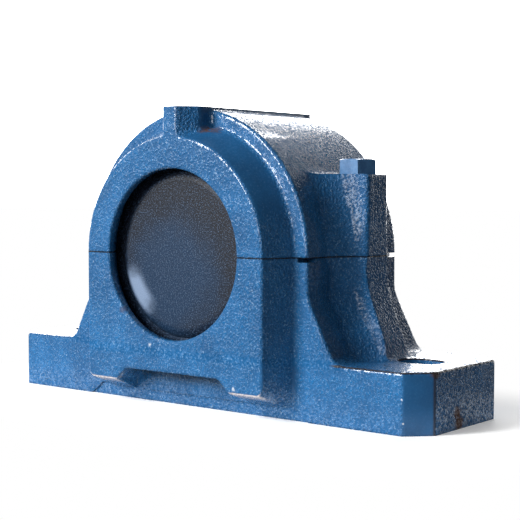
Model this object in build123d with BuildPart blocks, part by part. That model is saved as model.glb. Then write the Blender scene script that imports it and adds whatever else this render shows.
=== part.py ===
from build123d import *
import os
from math import cos, hypot, radians, sin, sqrt, tan

# Split plummer block: a cast base and cap that clamp a double-row self-aligning ball
# bearing on an adapter sleeve. X runs along the foot, Y along the shaft, Z is up.
# The origin is at the middle of the foot's underside. Millimetres.

# Foot and body
foot_length = 280
foot_height = 29.5
foot_corner = 11
body_width = 78
centre_height = 80
cast_round = 1.6

# Flank, where the body flares into the foot
flank_knee_drop = 20
flank_spread = 15.6
flank_knee_round = 18
flank_foot_round = 8

# End boss, which carries the seal at each end of the body
boss_length = 17
boss_wall = 10
boss_floor = 13
boss_draft = 22.4
boss_corner_round = 4
boss_face_round = 1.5
boss_root_round = 2
boss_sink = 0.5
notch_mouth = 78
notch_roof = 64
notch_height = 19.5
notch_round = 4
notch_splay = 4
relief_depth = 1
relief_height = 7
relief_overhang = 6.5
relief_lean = 9

# Rib along the top of the cap
rib_width = 25.8
rib_nose_width = 8.6
rib_nose_length = 9.5
rib_rise = 0.6
rib_shoulder_round = 5
rib_top_round = 0.6
rib_root_round = 2.2
rib_arch_round = 3.5

# Ears that take the cap bolts
ear_length = 14.6
ear_width = 18
ear_height = 41
ear_flare = 18
ear_edge_round = 2
ear_root_round = 6
pillar_sink = 6
ear_knee_spread = 2
ear_foot_spread = 12.1
ear_foot_round = 4
flare_bite = 0.3

# Seats and openings
seat_diameter = 130
seat_width = 41
seat_wall = 9.8
seat_shoulder = 5.5
end_wall = 2.5
opening_step = 21
opening_chamfer = 0.6
groove_inset = 3.5
groove_width = 9.5
groove_depth = 6

# Fixing slots, cap bolts, dowels and pry notches
slot_spacing = 230
slot_width = 18
slot_length = 24
mark_spacing = 220
mark_width = 49
mark_diameter = 3.4
bolt_offset = 2.2
bolt_diameter = 12
bolt_length = 80
bolt_head_width = 18
bolt_head_height = 7.5
bolt_head_bevel = 0.7
bolt_hole_diameter = 13
bolt_hole_spare = 3
bolt_turns = (4.5, 23)
thread_clearance = 0.05
dowel_diameter = 5
dowel_length = 16
dowel_clearance = 0.03
dowel_hole_spare = 0.3
pry_length = 6.2
pry_width = 8.2
pry_depth = 2.2

# Grease hole and plug
grease_hole_diameter = 5
plug_diameter = 10
plug_length = 8
plug_sink = 0.3
plug_key = 5
plug_key_depth = 4

# Bearing
bearing_bore = 75
bearing_width = 31
ball_diameter = 14.288
balls_per_row = 16
row_offset = 7.1
running_clearance = 0.05
seat_clearance = 0.05
race_ratio = 1.05
shoulder_drop = 4.25
ring_chamfer = 1.1
cage_thickness = 6.3
cage_shoulder_gap = 1.2
cage_end_gap = 0.3
cage_middle_gap = 1
cage_clearance = 0.2

# Adapter sleeve, washer and nut
shaft_diameter = 65
taper_ratio = 12
sleeve_heel = 4
sleeve_thread_length = 20
sleeve_slit = 3
sleeve_clearance = 0.03
nut_diameter = 98
nut_width = 15
nut_slots = 4
nut_slot_width = 10
nut_slot_depth = 4.5
nut_chamfer = 2
washer_thickness = 2
washer_overhang = 3
washer_teeth = 17
washer_tooth_gap = 1
washer_clearance = 0.2
washer_key_depth = 4
washer_tab_length = 9

# Locating rings
locating_depth = 6.5
locating_gap = 30

# End cover
cover_thickness = 2.5
cover_bulge = 2.6
cover_rim_gap = 0.5
cover_rim_width = 5.5
cover_clearance = 0.3

# Shaft seal, in two halves
seal_clearance = 0.1
seal_shaft_gap = 0.35
seal_ring_height = 5
seal_lip = 1.8

axis_line = Axis((0, 0, centre_height), (0, 1, 0))
split_plane = Plane.XY.offset(centre_height)
barrel_centre = Location((0, centre_height, 0), (0, 0, -90))
body_half = body_width / 2
body_radius = seat_diameter / 2 + seat_wall
flank_knee_height = centre_height - flank_knee_drop
flank_foot_reach = body_radius + flank_spread
chamber_radius = seat_diameter / 2 - seat_shoulder
chamber_end = body_half - end_wall
opening_radius = seat_diameter / 2 - opening_step
groove_radius = opening_radius + groove_depth
groove_near = body_half + groove_inset
groove_far = groove_near + groove_width
boss_face = body_half + boss_length
boss_radius = groove_radius + boss_wall
boss_root = chamber_end - boss_sink
boss_spread = (boss_face - boss_root) * tan(radians(boss_draft))
relief_top = boss_radius + relief_overhang
rib_top = centre_height + body_radius + rib_rise
ear_top = centre_height + ear_height
ear_reach = body_radius + ear_length
ear_foot_reach = ear_reach + ear_foot_spread
bolt_place = body_radius + bolt_offset
dowel_x = (chamber_radius + body_radius) / 2
chamber_middle = (seat_width / 2 + chamber_end) / 2
bearing_half = bearing_width / 2
ball_orbit = (bearing_bore + seat_diameter) / 4
shoulder_radius = ball_orbit - shoulder_drop


def save(piece, name):
    piece.part.label = name
    export_step(piece.part, f"parts/{name}.step")


# Drafted boss at the front end, full at its root: round for the cap, straight-sided below
def add_end_boss(arched):
    half = boss_radius + boss_spread
    floor = boss_floor - boss_spread
    top = centre_height + half
    with BuildSketch(Plane.XZ.offset(boss_root)) as root:
        if arched:
            with Locations(barrel_centre):
                Circle(half)
        else:
            with BuildLine():
                Polyline((half, top), (half, floor), (-half, floor), (-half, top), close=True)
            make_face()
            lower = root.vertices().filter_by(lambda v: v.Y < centre_height - 1)
            fillet(lower, boss_corner_round + boss_spread)
    extrude(root.sketch, amount=boss_face - boss_root, taper=boss_draft)


# Front half of the bearing seat, grease chamber, seal groove and shaft opening
def cut_bearing_space():
    seat = centre_height + seat_diameter / 2
    chamber = centre_height + chamber_radius
    opening = centre_height + opening_radius
    groove = centre_height + groove_radius
    with BuildSketch(Plane.YZ) as turned:
        with BuildLine():
            Polyline(
                (0, centre_height),
                (0, seat),
                (-seat_width / 2, seat),
                (-seat_width / 2, chamber),
                (-chamber_end, chamber),
                (-chamber_end, opening),
                (-groove_near, opening),
                (-groove_near, groove),
                (-groove_far, groove),
                (-groove_far, opening),
                (opening_chamfer - boss_face, opening),
                (-boss_face, opening + opening_chamfer),
                (-boss_face - 1, opening + opening_chamfer),
                (-boss_face - 1, centre_height),
                close=True,
            )
        make_face()
    revolve(turned.sketch, axis=axis_line, mode=Mode.SUBTRACT)


# Dowel holes on one diagonal of the split, drilled the same into base and cap
def drill_dowel_holes():
    radius = dowel_diameter / 2 + dowel_clearance
    with Locations((dowel_x, -chamber_middle, centre_height), (-dowel_x, chamber_middle, centre_height)):
        Cylinder(radius, dowel_length + 2 * dowel_hole_spare, mode=Mode.SUBTRACT)


# Ear pillar of the base, cut level at a height, with flares that run out on the flank
def pillar_section(height, reach):
    fall = max(0, (flank_knee_height - height) / (flank_knee_height - foot_height))
    flank = body_radius + (flank_foot_reach - body_radius) * fall - flare_bite
    side = ear_width / 2
    swing = side + ear_flare
    lift = swing - sqrt(ear_flare**2 - (flank + ear_flare - reach) ** 2)
    middle = radians(45)
    turn = (flank + ear_flare - ear_flare * cos(middle), swing - ear_flare * sin(middle))
    with BuildSketch(Plane.XY.offset(height)) as section:
        with BuildLine():
            Polyline((reach, 0), (reach, lift))
            ThreePointArc((reach, lift), turn, (flank, swing))
            Polyline((flank, swing), (flank - seat_wall / 2, swing), (flank - seat_wall / 2, 0))
            mirror(about=Plane.XZ)
        make_face()
    return section.sketch


os.makedirs("parts", exist_ok=True)

with BuildPart() as base_pillar:
    loft(
        [
            pillar_section(foot_height - pillar_sink, ear_foot_reach),
            pillar_section(foot_height, ear_foot_reach),
            pillar_section(flank_knee_height, ear_reach + ear_knee_spread),
            pillar_section(centre_height, ear_reach),
        ]
    )

with BuildPart() as housing_base:
    # Foot and body in one profile
    with BuildSketch(Plane.XZ.offset(body_half)) as body_profile:
        with BuildLine():
            Polyline(
                (0, 0),
                (foot_length / 2, 0),
                (foot_length / 2, foot_height),
                (flank_foot_reach, foot_height),
                (body_radius, flank_knee_height),
                (body_radius, centre_height),
                (0, centre_height),
            )
            mirror(about=Plane.YZ)
        make_face()
        toes = body_profile.vertices().filter_by(lambda v: abs(abs(v.X) - flank_foot_reach) < 0.01)
        fillet(toes, flank_foot_round)
        knees = body_profile.vertices().filter_by(lambda v: abs(v.Y - flank_knee_height) < 0.01)
        fillet(knees, flank_knee_round)
    extrude(amount=-body_half)
    uprights = housing_base.edges().filter_by(Axis.Z).group_by(Axis.Y)[0]
    chamfer(uprights.filter_by(lambda e: abs(e.center().X) > foot_length / 2 - 1), foot_corner)
    outer_edges = housing_base.edges().filter_by(
        lambda e: 0.1 < e.center().Z < centre_height - 0.1
        and e.center().Y < -0.1
        and (e.bounding_box().size.Y < body_half - 0.1 or abs(e.center().X) > foot_length / 2 - 1)
    )
    fillet(outer_edges, cast_round)

    # Relieved skirt under the boss
    with BuildSketch(Plane.XZ.offset(body_half - relief_depth)) as skirt:
        with BuildLine():
            Polyline(
                (-relief_top - relief_lean, -1),
                (-relief_top - relief_lean, 0),
                (-relief_top, relief_height),
                (relief_top, relief_height),
                (relief_top + relief_lean, 0),
                (relief_top + relief_lean, -1),
                close=True,
            )
        make_face()
    extrude(skirt.sketch, amount=relief_depth + 1, mode=Mode.SUBTRACT)

    # Boss
    add_end_boss(arched=False)
    split(bisect_by=split_plane, keep=Keep.BOTTOM)
    split(bisect_by=Plane.YZ, keep=Keep.BOTTOM)
    root_edges = housing_base.edges().filter_by(
        lambda e: abs(e.center().Y + body_half) < 0.01 and abs(e.center().X) < boss_radius + boss_spread
        and relief_height + 1 < e.center().Z
    )
    fillet(root_edges, boss_root_round)
    face = housing_base.faces().sort_by(Axis.Y)[0]
    outline = face.edges().filter_by(lambda e: e.center().X < -0.1 and e.center().Z < centre_height - 0.1)
    fillet(outline, boss_face_round)
    with BuildSketch(Plane.XZ.offset(body_half)) as notch:
        with BuildLine():
            Polyline(
                (-notch_mouth / 2 - notch_splay, 0),
                (-notch_mouth / 2, boss_floor),
                (-notch_roof / 2, notch_height),
                (notch_roof / 2, notch_height),
                (notch_mouth / 2, boss_floor),
                (notch_mouth / 2 + notch_splay, 0),
                close=True,
            )
        make_face()
        fillet(notch.vertices().filter_by(lambda v: v.Y > notch_height - 0.1), notch_round)
    extrude(notch.sketch, amount=boss_face - body_half + 1, mode=Mode.SUBTRACT)
    cut_bearing_space()
    mirror(about=Plane.YZ)
    mirror(about=Plane.XZ)
    add(base_pillar.part)
    add(base_pillar.part.mirror(Plane.YZ))
    pillar_toes = housing_base.edges().filter_by(
        lambda e: abs(e.center().Z - foot_height) < 0.01
        and flank_foot_reach + ear_foot_round < abs(e.center().X) < ear_foot_reach + 0.1
        and abs(e.center().Y) < ear_width / 2 + ear_flare / 2
    )
    fillet(pillar_toes, ear_foot_round)

    # Fixing slots, drill marks for four bolts, tapped bolt holes, dowel holes and pry notches
    with BuildSketch() as slots:
        with GridLocations(slot_spacing, 0, 2, 1):
            SlotOverall(slot_length, slot_width)
    extrude(slots.sketch, amount=foot_height + 1, mode=Mode.SUBTRACT)
    with Locations(Plane.XY.offset(foot_height)):
        with GridLocations(mark_spacing, mark_width, 2, 2):
            Cone(mark_diameter / 2, 0, mark_diameter / 2, rotation=(180, 0, 0), mode=Mode.SUBTRACT)
    with Locations(split_plane):
        with GridLocations(2 * bolt_place, 0, 2, 1):
            Cylinder(
                bolt_diameter / 2 + thread_clearance,
                bolt_length - ear_height + bolt_hole_spare,
                align=(Align.CENTER, Align.CENTER, Align.MAX),
                mode=Mode.SUBTRACT,
            )
        with GridLocations(2 * body_radius, body_width, 2, 2):
            Box(2 * pry_length, 2 * pry_width, 2 * pry_depth, mode=Mode.SUBTRACT)
    drill_dowel_holes()
save(housing_base, "housing_base")

# Both ears of the cap, cut from a flared ring about the shaft axis
with BuildPart() as cap_ears:
    with BuildSketch(Plane.YZ) as ear_ring:
        side = ear_width / 2
        start = centre_height + body_radius - flare_bite
        swing = side + ear_flare
        slant = ear_flare * (1 - sin(radians(45)))
        with BuildLine():
            Polyline((0, start - ear_flare / 2), (swing, start - ear_flare / 2), (swing, start))
            ThreePointArc((swing, start), (side + slant, start + slant), (side, start + ear_flare))
            Polyline((side, start + ear_flare), (side, start + 2 * ear_flare), (0, start + 2 * ear_flare))
            mirror(about=Plane.YZ)
        make_face()
    revolve(ear_ring.sketch, axis=axis_line)
    with Locations(split_plane):
        Box(
            2 * ear_reach,
            2 * swing + 1,
            ear_height,
            align=(Align.CENTER, Align.CENTER, Align.MIN),
            mode=Mode.INTERSECT,
        )
    ends = cap_ears.faces().filter_by(Axis.X).filter_by(lambda f: abs(f.center().X) > ear_reach - 0.1)
    fillet(ends.edges().filter_by(lambda e: e.center().Z > centre_height + 0.1), ear_edge_round)

with BuildPart() as housing_cap:
    # Barrel of the body
    with BuildSketch(Plane.XZ.offset(body_half)) as barrel:
        with Locations(barrel_centre):
            Circle(body_radius)
    extrude(barrel.sketch, amount=-body_half)
    fillet(housing_cap.edges().filter_by(GeomType.CIRCLE).sort_by(Axis.Y)[:1], cast_round)
    add_end_boss(arched=True)

    # Top rib, its nose flush with the face of the boss
    with BuildSketch(Plane.XY.offset(centre_height + boss_radius - 2 * rib_nose_length)) as rib_plan:
        with BuildLine():
            Polyline(
                (0, 0),
                (rib_width / 2, 0),
                (rib_width / 2, rib_nose_length - boss_face),
                (rib_nose_width / 2, -boss_face),
                (0, -boss_face),
            )
            mirror(about=Plane.YZ)
        make_face()
    extrude(rib_plan.sketch, amount=rib_top - centre_height - boss_radius + 2 * rib_nose_length)
    split(bisect_by=split_plane, keep=Keep.TOP)
    split(bisect_by=Plane.YZ, keep=Keep.BOTTOM)
    shoulder = housing_cap.edges().filter_by(Axis.Z).filter_by(
        lambda e: abs(e.center().Y - rib_nose_length + boss_face) < 0.01
    )
    fillet(shoulder, rib_shoulder_round)
    rib_feet = housing_cap.edges().filter_by(
        lambda e: e.center().Y < -body_half - 0.1
        and e.center().X > -rib_width / 2 - 0.1
        and centre_height + boss_radius - 1 < e.center().Z < rib_top - rib_shoulder_round
        and e.bounding_box().size.X > 0.1
    )
    fillet(rib_feet, rib_arch_round)
    web_edges = housing_cap.edges().filter_by_position(Axis.Y, -body_half - 0.01, -body_half + 0.01)
    web_edges = web_edges.filter_by(
        lambda e: e.center().Z > centre_height + 0.1
        and not (e.geom_type == GeomType.CIRCLE and e.radius > body_radius - cast_round - 0.1)
    )
    fillet(web_edges, boss_root_round)
    face_edges = housing_cap.faces().sort_by(Axis.Y)[0].edges()
    fillet(
        face_edges.filter_by(
            lambda e: e.center().X < -0.1 and centre_height + 0.1 < e.center().Z < rib_top - 0.1
        ),
        boss_face_round,
    )
    rib_edges = housing_cap.faces().sort_by(Axis.Z)[-1].edges()
    fillet(rib_edges.filter_by(lambda e: e.center().X < -0.1 and e.center().Y < -0.1), rib_top_round)
    cut_bearing_space()
    mirror(about=Plane.YZ)
    mirror(about=Plane.XZ)

    # Ears, blended into the barrel above them
    add(cap_ears.part)
    ear_roots = housing_cap.edges().filter_by(
        lambda e: abs(e.center().Z - ear_top) < 0.01
        and abs(e.center().X) < sqrt(body_radius**2 - ear_height**2) + 1
    )
    fillet(ear_roots.filter_by(Axis.Y), ear_root_round)

    # Bolt clearance holes, dowel holes, grease hole and its plug seat
    with Locations(Plane.XY.offset(ear_top)):
        with GridLocations(2 * bolt_place, 0, 2, 1):
            Hole(bolt_hole_diameter / 2, ear_height + 1)
    drill_dowel_holes()
    with Locations((0, chamber_middle, rib_top)):
        CounterBoreHole(
            grease_hole_diameter / 2,
            plug_diameter / 2 + thread_clearance,
            plug_length,
            rib_top - centre_height - chamber_radius + 1,
        )
save(housing_cap, "housing_cap")

# Cap bolts: bevelled hexagon head on a plain shank
bolt_corner = bolt_head_width / sqrt(3)
for side, place, turn in (
    ("right", bolt_place, bolt_turns[0]),
    ("left", -bolt_place, bolt_turns[1]),
):
    with BuildPart() as cap_bolt:
        with BuildSketch(Plane.XY.offset(ear_top)):
            with Locations((place, 0)):
                RegularPolygon(bolt_corner, 6, rotation=turn)
        extrude(amount=bolt_head_height)
        with BuildSketch(Plane.XZ) as bevel:
            with BuildLine():
                Polyline(
                    (place, ear_top),
                    (place + bolt_corner, ear_top),
                    (place + bolt_corner, ear_top + bolt_head_height - bolt_head_bevel),
                    (place + bolt_head_width / 2 - bolt_head_bevel / 2, ear_top + bolt_head_height),
                    (place, ear_top + bolt_head_height),
                    close=True,
                )
            make_face()
        revolve(bevel.sketch, axis=Axis((place, 0, 0), (0, 0, 1)), mode=Mode.INTERSECT)
        with BuildSketch(Plane.XY.offset(ear_top)) as shank:
            with Locations((place, 0)):
                Circle(bolt_diameter / 2)
        extrude(shank.sketch, amount=-bolt_length)
        chamfer(cap_bolt.edges().sort_by(Axis.Z)[:1], bolt_diameter / 12)
    save(cap_bolt, f"cap_bolt_{side}")

# Dowel pins with bevelled ends
for end, x, y in (("front", dowel_x, -chamber_middle), ("rear", -dowel_x, chamber_middle)):
    with BuildPart() as dowel_pin:
        with Locations((x, y, centre_height)):
            Cylinder(dowel_diameter / 2, dowel_length)
        chamfer(dowel_pin.edges().filter_by(GeomType.CIRCLE), dowel_diameter / 10)
    save(dowel_pin, f"dowel_pin_{end}")

# Grease plug, a socket set screw just under the rib's top
with BuildPart() as grease_plug:
    with BuildSketch(Plane.XY.offset(rib_top - plug_sink)) as plug:
        with Locations((0, chamber_middle)):
            Circle(plug_diameter / 2)
    extrude(amount=plug_sink - plug_length)
    with BuildSketch(Plane.XY.offset(rib_top - plug_sink)) as socket:
        with Locations((0, chamber_middle)):
            RegularPolygon(plug_key / 2, 6, major_radius=False)
    extrude(amount=-plug_key_depth, mode=Mode.SUBTRACT)
    chamfer(grease_plug.edges().filter_by(GeomType.CIRCLE), plug_diameter / 20)
save(grease_plug, "grease_plug")


# Solid of revolution about the shaft axis from (along, radius) points
def turn_profile(points):
    with BuildSketch(Plane.YZ) as turned:
        with BuildLine():
            Polyline([(along, centre_height + radius) for along, radius in points], close=True)
        make_face()
    revolve(turned.sketch, axis=axis_line)


# End cover: a dished disc whose flange stands in the front seal groove
with BuildPart() as end_cover:
    flange = -groove_near - cover_thickness
    rim = opening_radius - cover_rim_gap
    flat = rim - cover_rim_width
    bend = ((rim - flat) ** 2 + cover_bulge**2) / (2 * cover_bulge)
    lean = (rim - flat) / bend / 2
    outer_middle = (flange - cover_bulge + bend * (1 - cos(lean)), centre_height + flat + bend * sin(lean))
    inner_bend = bend - cover_thickness
    inner_rise = sqrt(inner_bend**2 - (inner_bend - cover_bulge) ** 2)
    with BuildSketch(Plane.YZ) as disc:
        with BuildLine():
            Line((flange - cover_bulge, centre_height), (flange - cover_bulge, centre_height + flat))
            ThreePointArc(
                (flange - cover_bulge, centre_height + flat), outer_middle, (flange, centre_height + rim)
            )
            Polyline(
                (flange, centre_height + rim),
                (flange, centre_height + groove_radius - cover_clearance),
                (-groove_near, centre_height + groove_radius - cover_clearance),
                (-groove_near, centre_height + flat + inner_rise),
                (-groove_near - cover_bulge, centre_height + flat),
                (-groove_near - cover_bulge, centre_height),
                (flange - cover_bulge, centre_height),
            )
        make_face()
    revolve(disc.sketch, axis=axis_line)
save(end_cover, "end_cover")

# Shaft seal: a ring of U section in the rear groove, cut level into two halves
for half, keep in (("upper", Keep.TOP), ("lower", Keep.BOTTOM)):
    with BuildPart() as seal_half:
        near = groove_near + seal_clearance
        far = groove_far - seal_clearance
        outside = groove_radius - seal_clearance
        pocket = groove_radius - seal_ring_height
        lips = shaft_diameter / 2 + seal_shaft_gap
        turn_profile(
            [
                (near, outside),
                (near, lips),
                (near + seal_lip, lips),
                (near + seal_lip, pocket),
                (far - seal_lip, pocket),
                (far - seal_lip, lips),
                (far, lips),
                (far, outside),
            ]
        )
        split(bisect_by=split_plane, keep=keep)
    save(seal_half, f"seal_{half}")

# Locating rings, open at the bottom, that pin the bearing between the seat's shoulders
for end, start in (("front", -seat_width / 2), ("rear", bearing_half)):
    with BuildPart() as locating_ring:
        outside = seat_diameter / 2 - seat_clearance
        inside = seat_diameter / 2 - locating_depth
        stop = start + (seat_width - bearing_width) / 2
        turn_profile([(start, outside), (start, inside), (stop, inside), (stop, outside)])
        with Locations((0, start, centre_height)):
            Box(
                locating_gap,
                seat_width,
                seat_diameter,
                align=(Align.CENTER, Align.CENTER, Align.MAX),
                mode=Mode.SUBTRACT,
            )
    save(locating_ring, f"locating_ring_{end}")

# Bearing rings: a spherical outer raceway and two grooves on the inner ring
ball_throw = hypot(ball_orbit, row_offset)
outer_race = ball_throw + ball_diameter / 2 + running_clearance
race_radius = race_ratio * ball_diameter / 2
race_throw = ball_throw - ball_diameter / 2 - running_clearance + race_radius

with BuildPart() as outer_ring:
    outside = centre_height + seat_diameter / 2 - seat_clearance
    race_edge = sqrt(outer_race**2 - bearing_half**2) + centre_height
    with BuildSketch(Plane.YZ) as ring_section:
        with BuildLine():
            ThreePointArc(
                (-bearing_half, race_edge), (0, centre_height + outer_race), (bearing_half, race_edge)
            )
            Polyline(
                (bearing_half, race_edge),
                (bearing_half, outside - ring_chamfer),
                (bearing_half - ring_chamfer, outside),
                (ring_chamfer - bearing_half, outside),
                (-bearing_half, outside - ring_chamfer),
                (-bearing_half, race_edge),
            )
        make_face()
    revolve(ring_section.sketch, axis=axis_line)
save(outer_ring, "outer_ring")

small_bore = bearing_bore / 2
large_bore = small_bore + bearing_width / (2 * taper_ratio)
with BuildPart() as inner_ring:
    turn_profile(
        [
            (-bearing_half, small_bore),
            (-bearing_half, shoulder_radius),
            (bearing_half, shoulder_radius),
            (bearing_half, large_bore),
        ]
    )
    for row in (-1, 1):
        with BuildSketch(Plane.YZ) as groove:
            with Locations(
                (
                    row * row_offset * race_throw / ball_throw,
                    centre_height + ball_orbit * race_throw / ball_throw,
                )
            ):
                Circle(race_radius)
        revolve(groove.sketch, axis=axis_line, mode=Mode.SUBTRACT)
save(inner_ring, "inner_ring")

# Balls in two staggered rows, each row in its own crown cage
for end, row, stagger in (("front", -1, 0), ("rear", 1, 0.5)):
    pockets = []
    for number in range(balls_per_row):
        angle = radians(360 * (number + stagger) / balls_per_row)
        centre = (
            ball_orbit * sin(angle),
            row * row_offset,
            centre_height + ball_orbit * cos(angle),
        )
        pockets.append(Plane(centre, x_dir=(sin(angle), 0, cos(angle)), z_dir=(0, 1, 0)))
        with BuildPart() as ball:
            with Locations(centre):
                Sphere(ball_diameter / 2)
        save(ball, f"ball_{end}_{number + 1:02d}")
    with BuildPart() as cage:
        middle = row * cage_middle_gap
        face = row * (bearing_half - cage_end_gap)
        inside = shoulder_radius + cage_shoulder_gap
        outside = inside + cage_thickness
        turn_profile([(middle, inside), (face, inside), (face, outside), (middle, outside)])
        for pocket in pockets:
            with Locations(pocket):
                Sphere(ball_diameter / 2 + cage_clearance, mode=Mode.SUBTRACT)
    save(cage, f"cage_{end}")

# Adapter sleeve: tapered under the bearing, slit lengthways, nut end at the front
sleeve_rear = bearing_half + sleeve_heel
sleeve_front = -bearing_half - sleeve_thread_length
heel_radius = large_bore + sleeve_heel / (2 * taper_ratio) - sleeve_clearance
with BuildPart() as adapter_sleeve:
    turn_profile(
        [
            (sleeve_front, shaft_diameter / 2),
            (sleeve_front, small_bore - sleeve_clearance - 1),
            (sleeve_front + 1, small_bore - sleeve_clearance),
            (-bearing_half, small_bore - sleeve_clearance),
            (sleeve_rear, heel_radius),
            (sleeve_rear, shaft_diameter / 2),
        ]
    )
    with Locations((0, (sleeve_front + sleeve_rear) / 2, centre_height)):
        Box(
            sleeve_slit,
            sleeve_rear - sleeve_front + 1,
            bearing_bore,
            align=(Align.CENTER, Align.CENTER, Align.MIN),
            mode=Mode.SUBTRACT,
        )
save(adapter_sleeve, "adapter_sleeve")

# Lock washer: outer teeth, one bent into the nut, and a key in the sleeve's slit
nut_rear = -bearing_half - washer_thickness
with BuildPart() as lock_washer:
    with BuildSketch(Plane.XZ.offset(bearing_half)) as blank:
        with Locations((0, centre_height)):
            Circle(nut_diameter / 2 - nut_slot_depth)
            with PolarLocations(0, washer_teeth):
                Rectangle(
                    nut_diameter / 2 + washer_overhang,
                    nut_slot_width - 2 * washer_tooth_gap,
                    align=(Align.MIN, Align.CENTER),
                )
            Circle(small_bore + washer_clearance, mode=Mode.SUBTRACT)
            with Locations((0, small_bore + washer_clearance + 0.5)):
                Rectangle(
                    sleeve_slit - 2 * washer_clearance,
                    washer_key_depth,
                    align=(Align.CENTER, Align.MAX),
                )
    extrude(blank.sketch, amount=washer_thickness)
    slot_floor = nut_diameter / 2 - nut_slot_depth
    with Locations((slot_floor + washer_clearance, nut_rear, centre_height)):
        Box(
            washer_thickness,
            washer_tab_length,
            nut_slot_width - 2 * washer_tooth_gap,
            align=(Align.MIN, Align.MAX, Align.CENTER),
        )
save(lock_washer, "lock_washer")

# Lock nut with four spanner slots
with BuildPart() as lock_nut:
    nut_front = nut_rear - nut_width
    turn_profile(
        [
            (nut_rear, small_bore + thread_clearance),
            (nut_rear, nut_diameter / 2 - nut_chamfer),
            (nut_rear - nut_chamfer, nut_diameter / 2),
            (nut_front + nut_chamfer, nut_diameter / 2),
            (nut_front, nut_diameter / 2 - nut_chamfer),
            (nut_front, small_bore + thread_clearance),
        ]
    )
    with BuildSketch(Plane.XZ.offset(-nut_rear - 1)) as spanner_slots:
        with Locations((0, centre_height)):
            with PolarLocations(nut_diameter / 2, nut_slots):
                Rectangle(2 * nut_slot_depth, nut_slot_width)
    extrude(spanner_slots.sketch, amount=nut_width + 2, mode=Mode.SUBTRACT)
save(lock_nut, "lock_nut")
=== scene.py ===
import math

import bmesh
import bpy
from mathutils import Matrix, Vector

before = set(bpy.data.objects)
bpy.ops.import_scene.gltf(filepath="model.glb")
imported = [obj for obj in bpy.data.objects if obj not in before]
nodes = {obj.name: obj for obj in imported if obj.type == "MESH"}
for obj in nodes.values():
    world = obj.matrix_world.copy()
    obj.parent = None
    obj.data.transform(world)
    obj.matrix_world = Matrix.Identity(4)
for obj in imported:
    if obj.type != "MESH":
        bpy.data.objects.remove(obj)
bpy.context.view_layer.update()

scene = bpy.context.scene
print("frame loaded:", len(nodes), "nodes")


# Shader maths: Wave wraps a socket, so that formulas can be written as they are
class Wave:
    def __init__(self, shader, socket):
        self.shader = shader
        self.socket = socket

    def maths(self, operation, *others):
        return self.shader.add(
            "ShaderNodeMath",
            {"operation": operation},
            dict(enumerate((self, *others))),
        )

    def __add__(self, other):
        return self.maths("ADD", other)

    def __radd__(self, other):
        return self.maths("ADD", other)

    def __sub__(self, other):
        return self.maths("SUBTRACT", other)

    def __rsub__(self, other):
        return (self * -1).maths("ADD", other)

    def __mul__(self, other):
        return self.maths("MULTIPLY", other)

    def __rmul__(self, other):
        return self.maths("MULTIPLY", other)

    def __truediv__(self, other):
        return self.maths("DIVIDE", other)

    def most(self, other):
        return self.maths("MAXIMUM", other)

    def least(self, other):
        return self.maths("MINIMUM", other)

    def size(self):
        return self.maths("ABSOLUTE")

    def ramp(self, low, high, atLow, atHigh):
        return self.shader.add(
            "ShaderNodeMapRange",
            {"interpolation_type": "SMOOTHSTEP"},
            {"Value": self, "From Min": low, "From Max": high, "To Min": atLow, "To Max": atHigh},
        )

    # 0 below low, 1 above high, smooth between
    def step(self, low, high):
        return self.ramp(low, high, 0.0, 1.0)

    # the same, falling
    def fall(self, low, high):
        return self.ramp(low, high, 1.0, 0.0)


class Tree:
    def __init__(self, tree):
        self.tree = tree

    def add(self, kind, settings, inputs, output=0):
        node = self.tree.nodes.new(kind)
        for name, value in settings.items():
            setattr(node, name, value)
        for name, value in inputs.items():
            self.feed(node.inputs[name], value)
        return node if output is None else Wave(self, node.outputs[output])

    def feed(self, socket, value):
        if isinstance(value, Wave):
            self.tree.links.new(value.socket, socket)
        else:
            socket.default_value = value

    def axes(self, vector):
        node = self.add("ShaderNodeSeparateXYZ", {}, {"Vector": vector}, output=None)
        return [Wave(self, socket) for socket in node.outputs]


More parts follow.
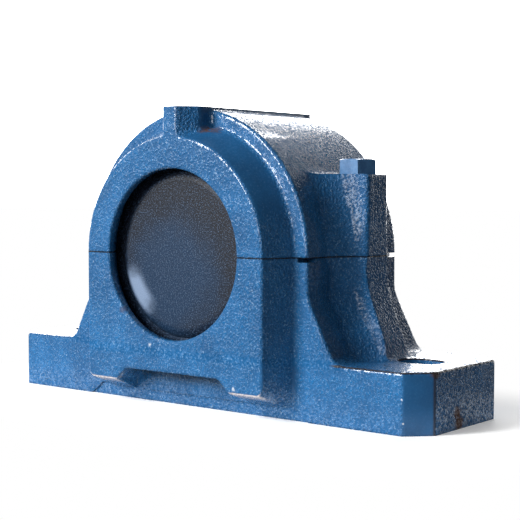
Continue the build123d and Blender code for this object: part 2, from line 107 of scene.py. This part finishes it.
# A material; x, y and z are the place on the piece in millimetres
class Shader(Tree):
    def __init__(self, name):
        self.material = bpy.data.materials.new(name)
        self.material.use_nodes = True
        super().__init__(self.material.node_tree)
        self.surface = self.tree.nodes["Principled BSDF"]
        self.place = self.add("ShaderNodeTexCoord", {}, {}, output="Object")
        facing = self.add("ShaderNodeNewGeometry", {}, {}, output="Normal")
        self.x, self.y, self.z = (axis * 1000 for axis in self.axes(self.place))
        self.facingX, self.facingY, self.facingZ = self.axes(facing)

    # noise whose features are about so many millimetres wide
    def noise(self, width, detail, roughness, stretch=(1, 1, 1), shift=0.0):
        place = self.add(
            "ShaderNodeMapping",
            {},
            {
                "Vector": self.place,
                "Location": (shift, shift, shift),
                "Scale": tuple(1000 / width * part for part in stretch),
            },
        )
        return self.add(
            "ShaderNodeTexNoise",
            {"noise_dimensions": "3D"},
            {"Vector": place, "Scale": 1.0, "Detail": detail, "Roughness": roughness},
        )

    # a colour between two others; a Mix node keeps its colours in sockets 6 and 7
    def mix(self, factor, low, high):
        inputs = {0: factor}
        for index, colour in ((6, low), (7, high)):
            inputs[index] = colour if isinstance(colour, Wave) else (*colour, 1.0)
        return self.add("ShaderNodeMix", {"data_type": "RGBA"}, inputs, output=2)

    # a plain number between two others
    def blend(self, factor, low, high):
        return factor * (high - low) + low

    def bump(self, height, depth, under=None):
        inputs = {"Height": height, "Strength": 1.0, "Distance": depth / 1000}
        if under:
            inputs["Normal"] = under
        return self.add("ShaderNodeBump", {}, inputs)

    # nearness to a point: 1 inside the core, 0 beyond the reach, frayed by noise
    def spot(self, point, reach, fray, core=0.35):
        away = (
            (self.x - point[0]) * (self.x - point[0])
            + (self.y - point[1]) * (self.y - point[1])
            + (self.z - point[2]) * (self.z - point[2])
        ).maths("SQRT")
        return (away + fray * reach).fall(reach * core, reach)

    # several such spots, each a point, a reach and a strength
    def spots(self, marks, fray):
        total = 0.0
        for point, reach, strength in marks:
            total = self.spot(point, reach, fray) * strength + total
        return total

    def set(self, **values):
        for name, value in values.items():
            self.feed(self.surface.inputs[name.replace("_", " ")], value)

    def wear(self, *names):
        for name in names:
            slots = nodes[name].data.materials
            slots.clear()
            slots.append(self.material)


# Paint on the sand-cast housing; lengths are in millimetres
paintLook = {
    # colours
    "deep": (0.007, 0.071, 0.186),
    "light": (0.010, 0.104, 0.264),
    # pale colour of painted glints on the grain's tops
    "paintedGlint": (0.280, 0.440, 0.600),
    "rust": (0.075, 0.034, 0.016),
    "bare": (0.022, 0.016, 0.012),
    # dark colour of painted shade in the grain's gaps
    "gapShade": (0.002, 0.018, 0.060),
    # pale colour of the painted highlight on the lip below the front boss
    "lip": (0.560, 0.500, 0.490),
    "shade": (0.003, 0.010, 0.018),
    "soot": (0.006, 0.008, 0.014),
    "chip": (0.600, 0.620, 0.640),
    # widths and depth of the grain, and how far edges are rounded
    "grainWidth": 1.2,
    "grainDepth": 0.24,
    "waveWidth": 3.12,
    "sparkleWidth": 0.75,
    "patchWidth": 26.0,
    "frayWidth": 2.2,
    "rounding": 2.6,
    # how shiny it is: gloss on the grain's tops, dull in its gaps
    "gloss": 0.16,
    "dull": 0.65,
    "specular": 0.18,
    "coat": 1.0,
    "coatRoughness": 0.11,
    "rustRoughness": 0.3,
    "mattRoughness": 0.4,
    # how strongly each effect shows
    "paintedGlintShare": 0.32,
    "gapShadeShare": 0.25,
    "evenShare": 0.85,
    "evenCoat": 0.6,
    "bossShare": 0.8,
    "waveShare": 0.8,
    "rustShare": 0.92,
    "chipShare": 0.9,
    "edgeShare": 0.95,
    "lipHighlightShare": 0.9,
    "notchShare": 0.85,
    "shadeShare": 0.8,
    "cornerShare": 0.7,
    "seamShare": 0.9,
    "seamDepth": 1.5,
    "wornShare": 0.6,
    "mattShare": 0.9,
    "rustFray": 1.4,
    "chipFray": 2.4,
    "edgeFray": 1.6,
    "lipFray": 1.2,
    # the slopes between which a face begins to count, and fully counts, as turned this way
    "slanted": (0.35, 0.45),
    "upright": (0.1, 0.3),
    "sideways": (0.4, 0.6),
    "level": (0.9, 0.99),
    "downward": (0.15, 0.5),
    "forward": (0.3, 0.6),
    "steep": (0.3, 0.6),
    # the split line, and the bare upper edge of the foot's end
    "splitHeight": 80.0,
    "splitHalf": 0.34,
    "footHeight": 29.5,
    "footSide": (86, 92),
    "footEdge": (0.3, 0.75),
    "footDrop": 0.35,
    # the even upper flank of the front boss, at the right
    "bossFront": (-42, -39),
    "bossSide": (5, 15),
    "bossHeight": (92, 108),
    # the painted highlight on the lip below the front boss, and the dark hollow between its
    # halves
    "lipFront": (-46, -42),
    "lipHeight": (22, 25),
    "lipBack": (-56, -47),
    "lipNotch": (37, 42),
    "hollowSide": (34, 39),
    "hollowFront": (-54, -45),
    "hollowBack": (-30, -28),
    "hollowLow": (8, 18),
    "hollowHigh": (24, 27),
    # the darkened corner at the foot's end
    "cornerPlace": 28.2,
    "cornerHalf": (0.3, 1.0),
    "cornerSide": (138.8, 139.6),
    # the matt lower part of the pillars, and the matt front edge of the foot's top
    "wornSide": (70, 80),
    "wornLow": (29, 33),
    "wornHigh": (64, 76),
    "mattHalf": (1.6, 3.2),
    "mattFront": (-36, -34),
    "mattSide": (92, 108),
    # point, reach and strength of each stain and chip
    "rustSpots": (
        ((13.0, -44.0, 141.5), 5.0, 0.8),
        ((18.0, -41.0, 142.0), 5.0, 0.6),
        ((66.0, -5.0, 120.0), 5.0, 0.7),
        ((70.0, 5.0, 120.0), 4.0, 0.5),
        ((140.0, -27.0, 28.5), 3.5, 0.8),
        ((140.0, -8.0, 8.5), 4.0, 0.8),
        ((140.0, -6.5, 3.0), 5.5, 0.9),
        ((-34.0, -56.0, 50.0), 3.0, 0.4),
    ),
    "chipSpots": (
        ((128.6, -39.0, 17.0), 0.6, 0.6),
        ((129.4, -38.6, 6.0), 0.7, 0.6),
        ((42.0, -56.0, 15.0), 1.3, 0.5),
        ((-14.0, -56.0, 33.0), 1.3, 0.5),
        ((-60.0, -55.0, 70.0), 1.2, 0.4),
    ),
}


# Where the paint lies even: on the foot's chamfers and the upper flank of the front boss
def evenPaint(shader):
    look = paintLook
    slanted = (shader.facingX * shader.facingY).size().step(*look["slanted"])
    upright = shader.facingZ.size().fall(*look["upright"])
    even = slanted * upright * shader.z.fall(look["footHeight"], look["footHeight"] + 1)
    boss = shader.y.fall(*look["bossFront"]) * shader.facingY.size().fall(*look["sideways"])
    boss = boss * shader.x.step(*look["bossSide"])
    return even.most(boss * shader.z.step(*look["bossHeight"]) * look["bossShare"])


# Bare metal along the foot's upper edge, broken up by the fray
def bareEdge(shader, fray):
    look = paintLook
    edge = (shader.z - look["footHeight"] + look["footDrop"]).size().fall(*look["footEdge"])
    edge = edge * shader.x.step(*look["footSide"])
    edge = edge * (1 - shader.facingZ.step(*look["level"]))
    return (edge * (0.9 + fray * look["edgeFray"])).most(0.0).least(look["edgeShare"])


# A painted highlight on the downward-facing lip below the front boss, standing for the floor's
# reflection, left out over the hollow in its middle
def paintedLipHighlight(shader, fray):
    look = paintLook
    under = (shader.facingZ * -1).step(*look["downward"])
    under = under * shader.y.fall(*look["lipFront"]) * shader.z.fall(*look["lipHeight"])
    notch = shader.x.size().fall(*look["lipNotch"])
    lip = under * shader.y.fall(*look["lipBack"]) * (1 - notch * look["notchShare"])
    lip = lip * (0.85 + fray * look["lipFray"]) * shader.facingX.size().fall(*look["forward"])
    return lip.most(0.0).least(look["lipHighlightShare"])


# Shade in the hollow between the halves of the lip
def darkHollow(shader):
    look = paintLook
    across = shader.x.size().fall(*look["hollowSide"])
    depth = shader.y.step(*look["hollowFront"]) * shader.y.fall(*look["hollowBack"])
    return across * depth * shader.z.step(*look["hollowLow"]) * shader.z.fall(*look["hollowHigh"])


# The upright corner between the foot's end and its chamfer, darkened
def darkCorner(shader):
    look = paintLook
    corner = (shader.y + look["cornerPlace"]).size().fall(*look["cornerHalf"])
    corner = corner * shader.x.step(*look["cornerSide"])
    return corner * shader.z.fall(look["footHeight"] - 1, look["footHeight"])


# Dirt in the line where cap and base meet
def splitLine(shader):
    look = paintLook
    half = look["splitHalf"]
    return (shader.z - look["splitHeight"]).size().fall(half * 0.5, half)


# The lower part of the pillars, and then the front edge of the foot's top, shine less
def mattPillar(shader):
    look = paintLook
    height = shader.z.step(*look["wornLow"]) * shader.z.fall(*look["wornHigh"])
    side = shader.x.size().step(*look["wornSide"])
    return side * height * shader.facingZ.size().fall(*look["steep"])


def mattEdge(shader):
    look = paintLook
    edge = (shader.z - look["footHeight"]).size().fall(*look["mattHalf"])
    return edge * shader.y.fall(*look["mattFront"]) * shader.x.size().fall(*look["mattSide"])


def paintedCasting(name):
    look = paintLook
    shader = Shader(name)
    even = evenPaint(shader)
    pebble = shader.noise(look["grainWidth"], 1.0, 0.5).step(0.36, 0.64)
    pebble = pebble * (1 - even * look["evenShare"])
    wave = shader.noise(look["waveWidth"], 1.0, 0.5, shift=5.0)
    patches = shader.noise(look["patchWidth"], 4.0, 0.6)
    sparkle = shader.noise(look["sparkleWidth"], 2.0, 0.6, shift=3.0)
    fray = shader.noise(look["frayWidth"], 4.0, 0.65, shift=7.0) - 0.5
    rounded = shader.add("ShaderNodeBevel", {"samples": 6}, {"Radius": look["rounding"] / 1000})
    glint = sparkle.step(0.54, 0.64) * pebble
    stains = shader.spots(look["rustSpots"], fray * look["rustFray"])
    chips = shader.spots(look["chipSpots"], fray * look["chipFray"])
    seam = splitLine(shader)

    colour = shader.mix(patches.step(0.3, 0.7), look["deep"], look["light"])
    # painted highlight: pale glints on the grain's tops
    colour = shader.mix(glint * look["paintedGlintShare"], colour, look["paintedGlint"])
    # painted shade: the gaps between the grain's pebbles are darkened
    painted = pebble * look["gapShadeShare"] + (1 - look["gapShadeShare"])
    colour = shader.mix(painted, look["gapShade"], colour)
    colour = shader.mix(stains.most(0.0).least(look["rustShare"]), colour, look["rust"])
    colour = shader.mix(bareEdge(shader, fray), colour, look["bare"])
    colour = shader.mix(chips.least(look["chipShare"]), colour, look["chip"])
    # painted highlight on the lip below the front boss
    colour = shader.mix(paintedLipHighlight(shader, fray), colour, look["lip"])
    colour = shader.mix(darkHollow(shader) * look["shadeShare"], colour, look["shade"])
    colour = shader.mix(darkCorner(shader) * look["cornerShare"], colour, look["bare"])
    colour = shader.mix(seam * look["seamShare"], colour, look["soot"])

    edge = mattEdge(shader)
    coat = pebble.most(even * look["evenCoat"]) * look["coat"] * (1 - stains.least(1.0))
    coat = coat * (1 - mattPillar(shader) * look["wornShare"]) * (1 - edge * look["mattShare"])
    gloss = shader.blend(pebble, look["dull"], look["gloss"])
    height = (pebble + wave * look["waveShare"]) * (1 - even * look["evenShare"])
    height = height - seam * look["seamDepth"]
    shader.set(
        Base_Color=colour,
        Roughness=gloss + stains * look["rustRoughness"] + edge * look["mattRoughness"],
        Coat_Weight=coat,
        Normal=shader.bump(height, look["grainDepth"], rounded),
        Specular_IOR_Level=look["specular"],
        Coat_Roughness=look["coatRoughness"],
    )
    return shader


paintedCasting("housing_paint").wear("housing_base", "housing_cap")
print("housing painted")


# The same paint on smooth bolt heads
boltLook = {
    "deep": (0.036, 0.108, 0.235),
    "light": (0.054, 0.150, 0.305),
    "cloudWidth": 5.0,
    "peelWidth": 1.6,
    "peelDepth": 0.05,
    "roughness": 0.25,
    "specular": 0.2,
    "coat": 0.08,
    "coatRoughness": 0.15,
}


def paintedBolt(name):
    look = boltLook
    shader = Shader(name)
    cloud = shader.noise(look["cloudWidth"], 3.0, 0.6)
    peel = shader.noise(look["peelWidth"], 2.0, 0.5)
    shader.set(
        Base_Color=shader.mix(cloud.step(0.35, 0.65), look["deep"], look["light"]),
        Roughness=look["roughness"] + (cloud - 0.5) * 0.15,
        Normal=shader.bump(peel, look["peelDepth"]),
        Coat_Weight=look["coat"],
        Coat_Roughness=look["coatRoughness"],
        Specular_IOR_Level=look["specular"],
    )
    return shader


paintedBolt("bolt_paint").wear("cap_bolt_left", "cap_bolt_right")
print("bolts painted")


# Dark moulded end cover with a fine speckle and a blue tint; the tint is centred low, so the top
# stays dark as painted shade under the rim, and a painted highlight lies on the rounded rim at
# the lower left
coverLook = {
    "dark": (0.003, 0.004, 0.008),
    "blueAndLit": (0.003, 0.017, 0.044),
    "speck": (0.060, 0.100, 0.170),
    "rimHighlight": (0.200, 0.270, 0.390),
    "cloudWidth": 16.0,
    "speckWidth": 0.7,
    "speckDepth": 0.16,
    "speckShare": 0.6,
    "rimHighlightShare": 0.7,
    "roughness": 0.42,
    "specular": 0.15,
    "middle": 80.0,
    "blueAndLitPlace": (-6.0, -47.0, 68.0),
    "blueAndLitReach": 44.0,
    "rimHighlightPlace": (-33.0, -47.0, 58.0),
    "rimHighlightReach": 18.0,
    "rimHighlightInner": (28, 34),
    "rimHighlightOuter": (38, 42),
}


def mouldedCover(name):
    look = coverLook
    shader = Shader(name)
    cloud = shader.noise(look["cloudWidth"], 5.0, 0.65)
    speckle = shader.noise(look["speckWidth"], 2.0, 0.7)
    up = shader.z - look["middle"]
    outward = (shader.x * shader.x + up * up).maths("SQRT")
    # blue tint centred below the middle: partly the cover's own tint, partly painted shade that
    # keeps the top dark
    blueAndLit = shader.spot(look["blueAndLitPlace"], look["blueAndLitReach"], (cloud - 0.5) * 0.7)
    colour = shader.mix(blueAndLit, look["dark"], look["blueAndLit"])
    specks = speckle.step(0.54, 0.61) * look["speckShare"]
    colour = shader.mix(specks, colour, look["speck"])
    # painted highlight on the rounded rim at the lower left
    rimHighlight = shader.spot(look["rimHighlightPlace"], look["rimHighlightReach"], (cloud - 0.5) * 0.8)
    rimHighlight = rimHighlight * outward.step(*look["rimHighlightInner"]) * outward.fall(*look["rimHighlightOuter"])
    colour = shader.mix(rimHighlight * look["rimHighlightShare"], colour, look["rimHighlight"])
    shader.set(
        Base_Color=colour,
        Roughness=look["roughness"] + (cloud - 0.5) * 0.2,
        Normal=shader.bump(speckle, look["speckDepth"]),
        Specular_IOR_Level=look["specular"],
    )
    return shader


mouldedCover("cover_plastic").wear("end_cover")
print("cover done")


# Turned or ground steel, its marks running round the shaft's axis
steelLook = {
    "turned_steel": {"colour": (0.50, 0.50, 0.51), "roughness": 0.34, "marks": 0.012},
    "ground_steel": {"colour": (0.62, 0.62, 0.63), "roughness": 0.16, "marks": 0.004},
    "ball_steel": {"colour": (0.68, 0.68, 0.69), "roughness": 0.07, "marks": 0.001},
}


def turnedSteel(name):
    look = steelLook[name]
    shader = Shader(name)
    along = shader.noise(0.5, 2.0, 0.6, stretch=(0.03, 1.0, 0.03))
    blotch = shader.noise(8.0, 3.0, 0.6)
    darker = tuple(part * 0.78 for part in look["colour"])
    shader.set(
        Base_Color=shader.mix(blotch, darker, look["colour"]),
        Roughness=look["roughness"] + (along - 0.5) * 0.15,
        Normal=shader.bump(along, look["marks"]),
        Metallic=1.0,
    )
    return shader


turnedSteel("turned_steel").wear(
    "adapter_sleeve", "lock_washer", "lock_nut", "locating_ring_front", "locating_ring_rear",
    "dowel_pin_front", "dowel_pin_rear", "grease_plug",
)
turnedSteel("ground_steel").wear("outer_ring", "inner_ring")
turnedSteel("ball_steel").wear(*(name for name in nodes if name.startswith("ball_")))
print("steel done")


# Moulded polymer of the cages
polymerLook = {
    "dark": (0.52, 0.45, 0.30),
    "light": (0.66, 0.59, 0.42),
    "cloudWidth": 6.0,
    "cloudDepth": 0.05,
    "roughness": 0.45,
}


def cagePolymer(name):
    look = polymerLook
    shader = Shader(name)
    cloud = shader.noise(look["cloudWidth"], 3.0, 0.6)
    shader.set(
        Base_Color=shader.mix(cloud, look["dark"], look["light"]),
        Roughness=look["roughness"] + (cloud - 0.5) * 0.1,
        Normal=shader.bump(cloud, look["cloudDepth"]),
    )
    return shader


cagePolymer("cage_polymer").wear("cage_front", "cage_rear")
print("cages done")


# Black seal rubber with a light bloom
rubberLook = {
    "black": (0.012, 0.012, 0.013),
    "bloom": (0.035, 0.035, 0.037),
    "bloomWidth": 5.0,
    "fineWidth": 0.6,
    "fineDepth": 0.04,
    "roughness": 0.62,
}


def sealRubber(name):
    look = rubberLook
    shader = Shader(name)
    bloom = shader.noise(look["bloomWidth"], 4.0, 0.6)
    fine = shader.noise(look["fineWidth"], 2.0, 0.6)
    shader.set(
        Base_Color=shader.mix(bloom.step(0.45, 0.75), look["black"], look["bloom"]),
        Roughness=look["roughness"] + (bloom - 0.5) * 0.2,
        Normal=shader.bump(fine, look["fineDepth"]),
    )
    return shader


sealRubber("seal_rubber").wear("seal_upper", "seal_lower")
print("seals done")


# Studio: a wide pale floor that brightens away from the block
floorLook = {
    "half": 6.0,  # metres
    "blockSide": 140,  # half of the block's length and depth, in millimetres
    "blockFront": 56,
    "near": 0.0,  # where the glow starts and is full, in metres from the block
    "far": 0.07,
    "pale": 0.82,
    "under": 0.22,
    "glow": 1.0,
    "fill": 0.45,  # the glow as the block sees it, at the left and at the right
    "dim": 0.12,
    "fillSide": (-500, 400),
}


def grey(level):
    return (level, level, level)


def studioFloor():
    look = floorLook
    sheet = bmesh.new()
    bmesh.ops.create_grid(sheet, x_segments=8, y_segments=8, size=look["half"])
    mesh = bpy.data.meshes.new("floor")
    sheet.to_mesh(mesh)
    sheet.free()
    floor = bpy.data.objects.new("floor", mesh)
    scene.collection.objects.link(floor)
    shader = Shader("floor_white")
    beside = (shader.x.size() - look["blockSide"]).most(0.0)
    before = (shader.y.size() - look["blockFront"]).most(0.0)
    away = (beside * beside + before * before).maths("SQRT") / 1000
    fade = away.step(look["near"], look["far"])
    seen = shader.add("ShaderNodeLightPath", {}, {}, output="Is Camera Ray")
    rightward = (shader.x * 0.8 - shader.y * 0.6).step(*look["fillSide"])
    fill = shader.mix(rightward, grey(look["fill"]), grey(look["dim"]))
    glow = shader.mix(seen, fill, grey(look["glow"]))
    shader.set(
        Base_Color=shader.mix(fade, grey(look["pale"]), grey(0.0)),
        Roughness=shader.noise(60.0, 2.0, 0.5) * 0.02 + look["pale"],
        Emission_Color=shader.mix(fade, grey(look["under"]), glow),
        Emission_Strength=1.0,
        Specular_IOR_Level=0.0,
    )
    mesh.materials.append(shader.material)


studioFloor()

# Soft lamps: place, the height they aim at, width, height and power, in metres and watts
softLamps = {
    "lamp_front": ((-0.75, -1.45, 1.25), 0.06, 0.5, 0.5, 33.0),
    "lamp_glint": ((-0.81, -1.45, 0.50), 0.08, 0.5, 0.5, 28.0),
    "lamp_low": ((0.1, -1.3, 0.4), 0.08, 1.1, 0.5, 8.0),
    "lamp_top": ((-0.30, 0.80, 0.95), 0.08, 0.3, 0.3, 4.0),
    "lamp_left": ((-1.3, -0.1, 0.5), 0.08, 0.5, 0.8, 3.0),
}


def softLamp(name):
    place, aimHeight, width, height, power = softLamps[name]
    light = bpy.data.lights.new(name, "AREA")
    light.shape = "RECTANGLE"
    light.size = width
    light.size_y = height
    light.energy = power
    lamp = bpy.data.objects.new(name, light)
    lamp.location = place
    aim = Vector((0.0, 0.0, aimHeight)) - Vector(place)
    lamp.rotation_euler = aim.to_track_quat("-Z", "Y").to_euler()
    scene.collection.objects.link(lamp)


for lampName in softLamps:
    softLamp(lampName)
print("floor and lamps done")


# World: white to the camera; to all else a bright low band behind, brightest on the left
skyLook = {
    "dark": 0.10,
    "right": 0.06,
    "left": 6.5,
    "leftAxis": (-0.64, 0.766),
    "leftRange": (0.4, 0.97),
    "bandHeight": (0.36, 0.56),
    "bandBack": (-0.1, 0.4),
}


def studioWorld():
    look = skyLook
    world = bpy.data.worlds.new("studio")
    world.use_nodes = True
    scene.world = world
    sky = Tree(world.node_tree)
    x, y, z = sky.axes(sky.add("ShaderNodeTexCoord", {}, {}, output="Generated"))
    leftX, leftY = look["leftAxis"]
    leftward = (y * leftY + x * leftX).step(*look["leftRange"])
    band = z.fall(*look["bandHeight"]) * y.step(*look["bandBack"])
    level = band * (leftward * (look["left"] - look["right"]) + look["right"]) + look["dark"]
    seen = sky.add("ShaderNodeLightPath", {}, {}, output="Is Camera Ray")
    backdrop = sky.tree.nodes["Background"]
    sky.feed(backdrop.inputs["Color"], level.most(seen))
    sky.feed(backdrop.inputs["Strength"], 1.0)


studioWorld()

# Camera: place in metres, tilt and turn in degrees, lens and sensor in millimetres
cameraLook = {
    "place": (0.4383, -0.5255, 0.1129),
    "tilt": 86.83,
    "turn": 38.93,
    "lens": 87.3,
    "sensor": 36.0,
}


def studioCamera():
    look = cameraLook
    lens = bpy.data.cameras.new("camera")
    lens.sensor_width = look["sensor"]
    lens.lens = look["lens"]
    camera = bpy.data.objects.new("camera", lens)
    camera.location = look["place"]
    camera.rotation_euler = (math.radians(look["tilt"]), 0.0, math.radians(look["turn"]))
    scene.collection.objects.link(camera)
    scene.camera = camera


studioCamera()
scene.view_settings.view_transform = "Standard"
print("studio done")
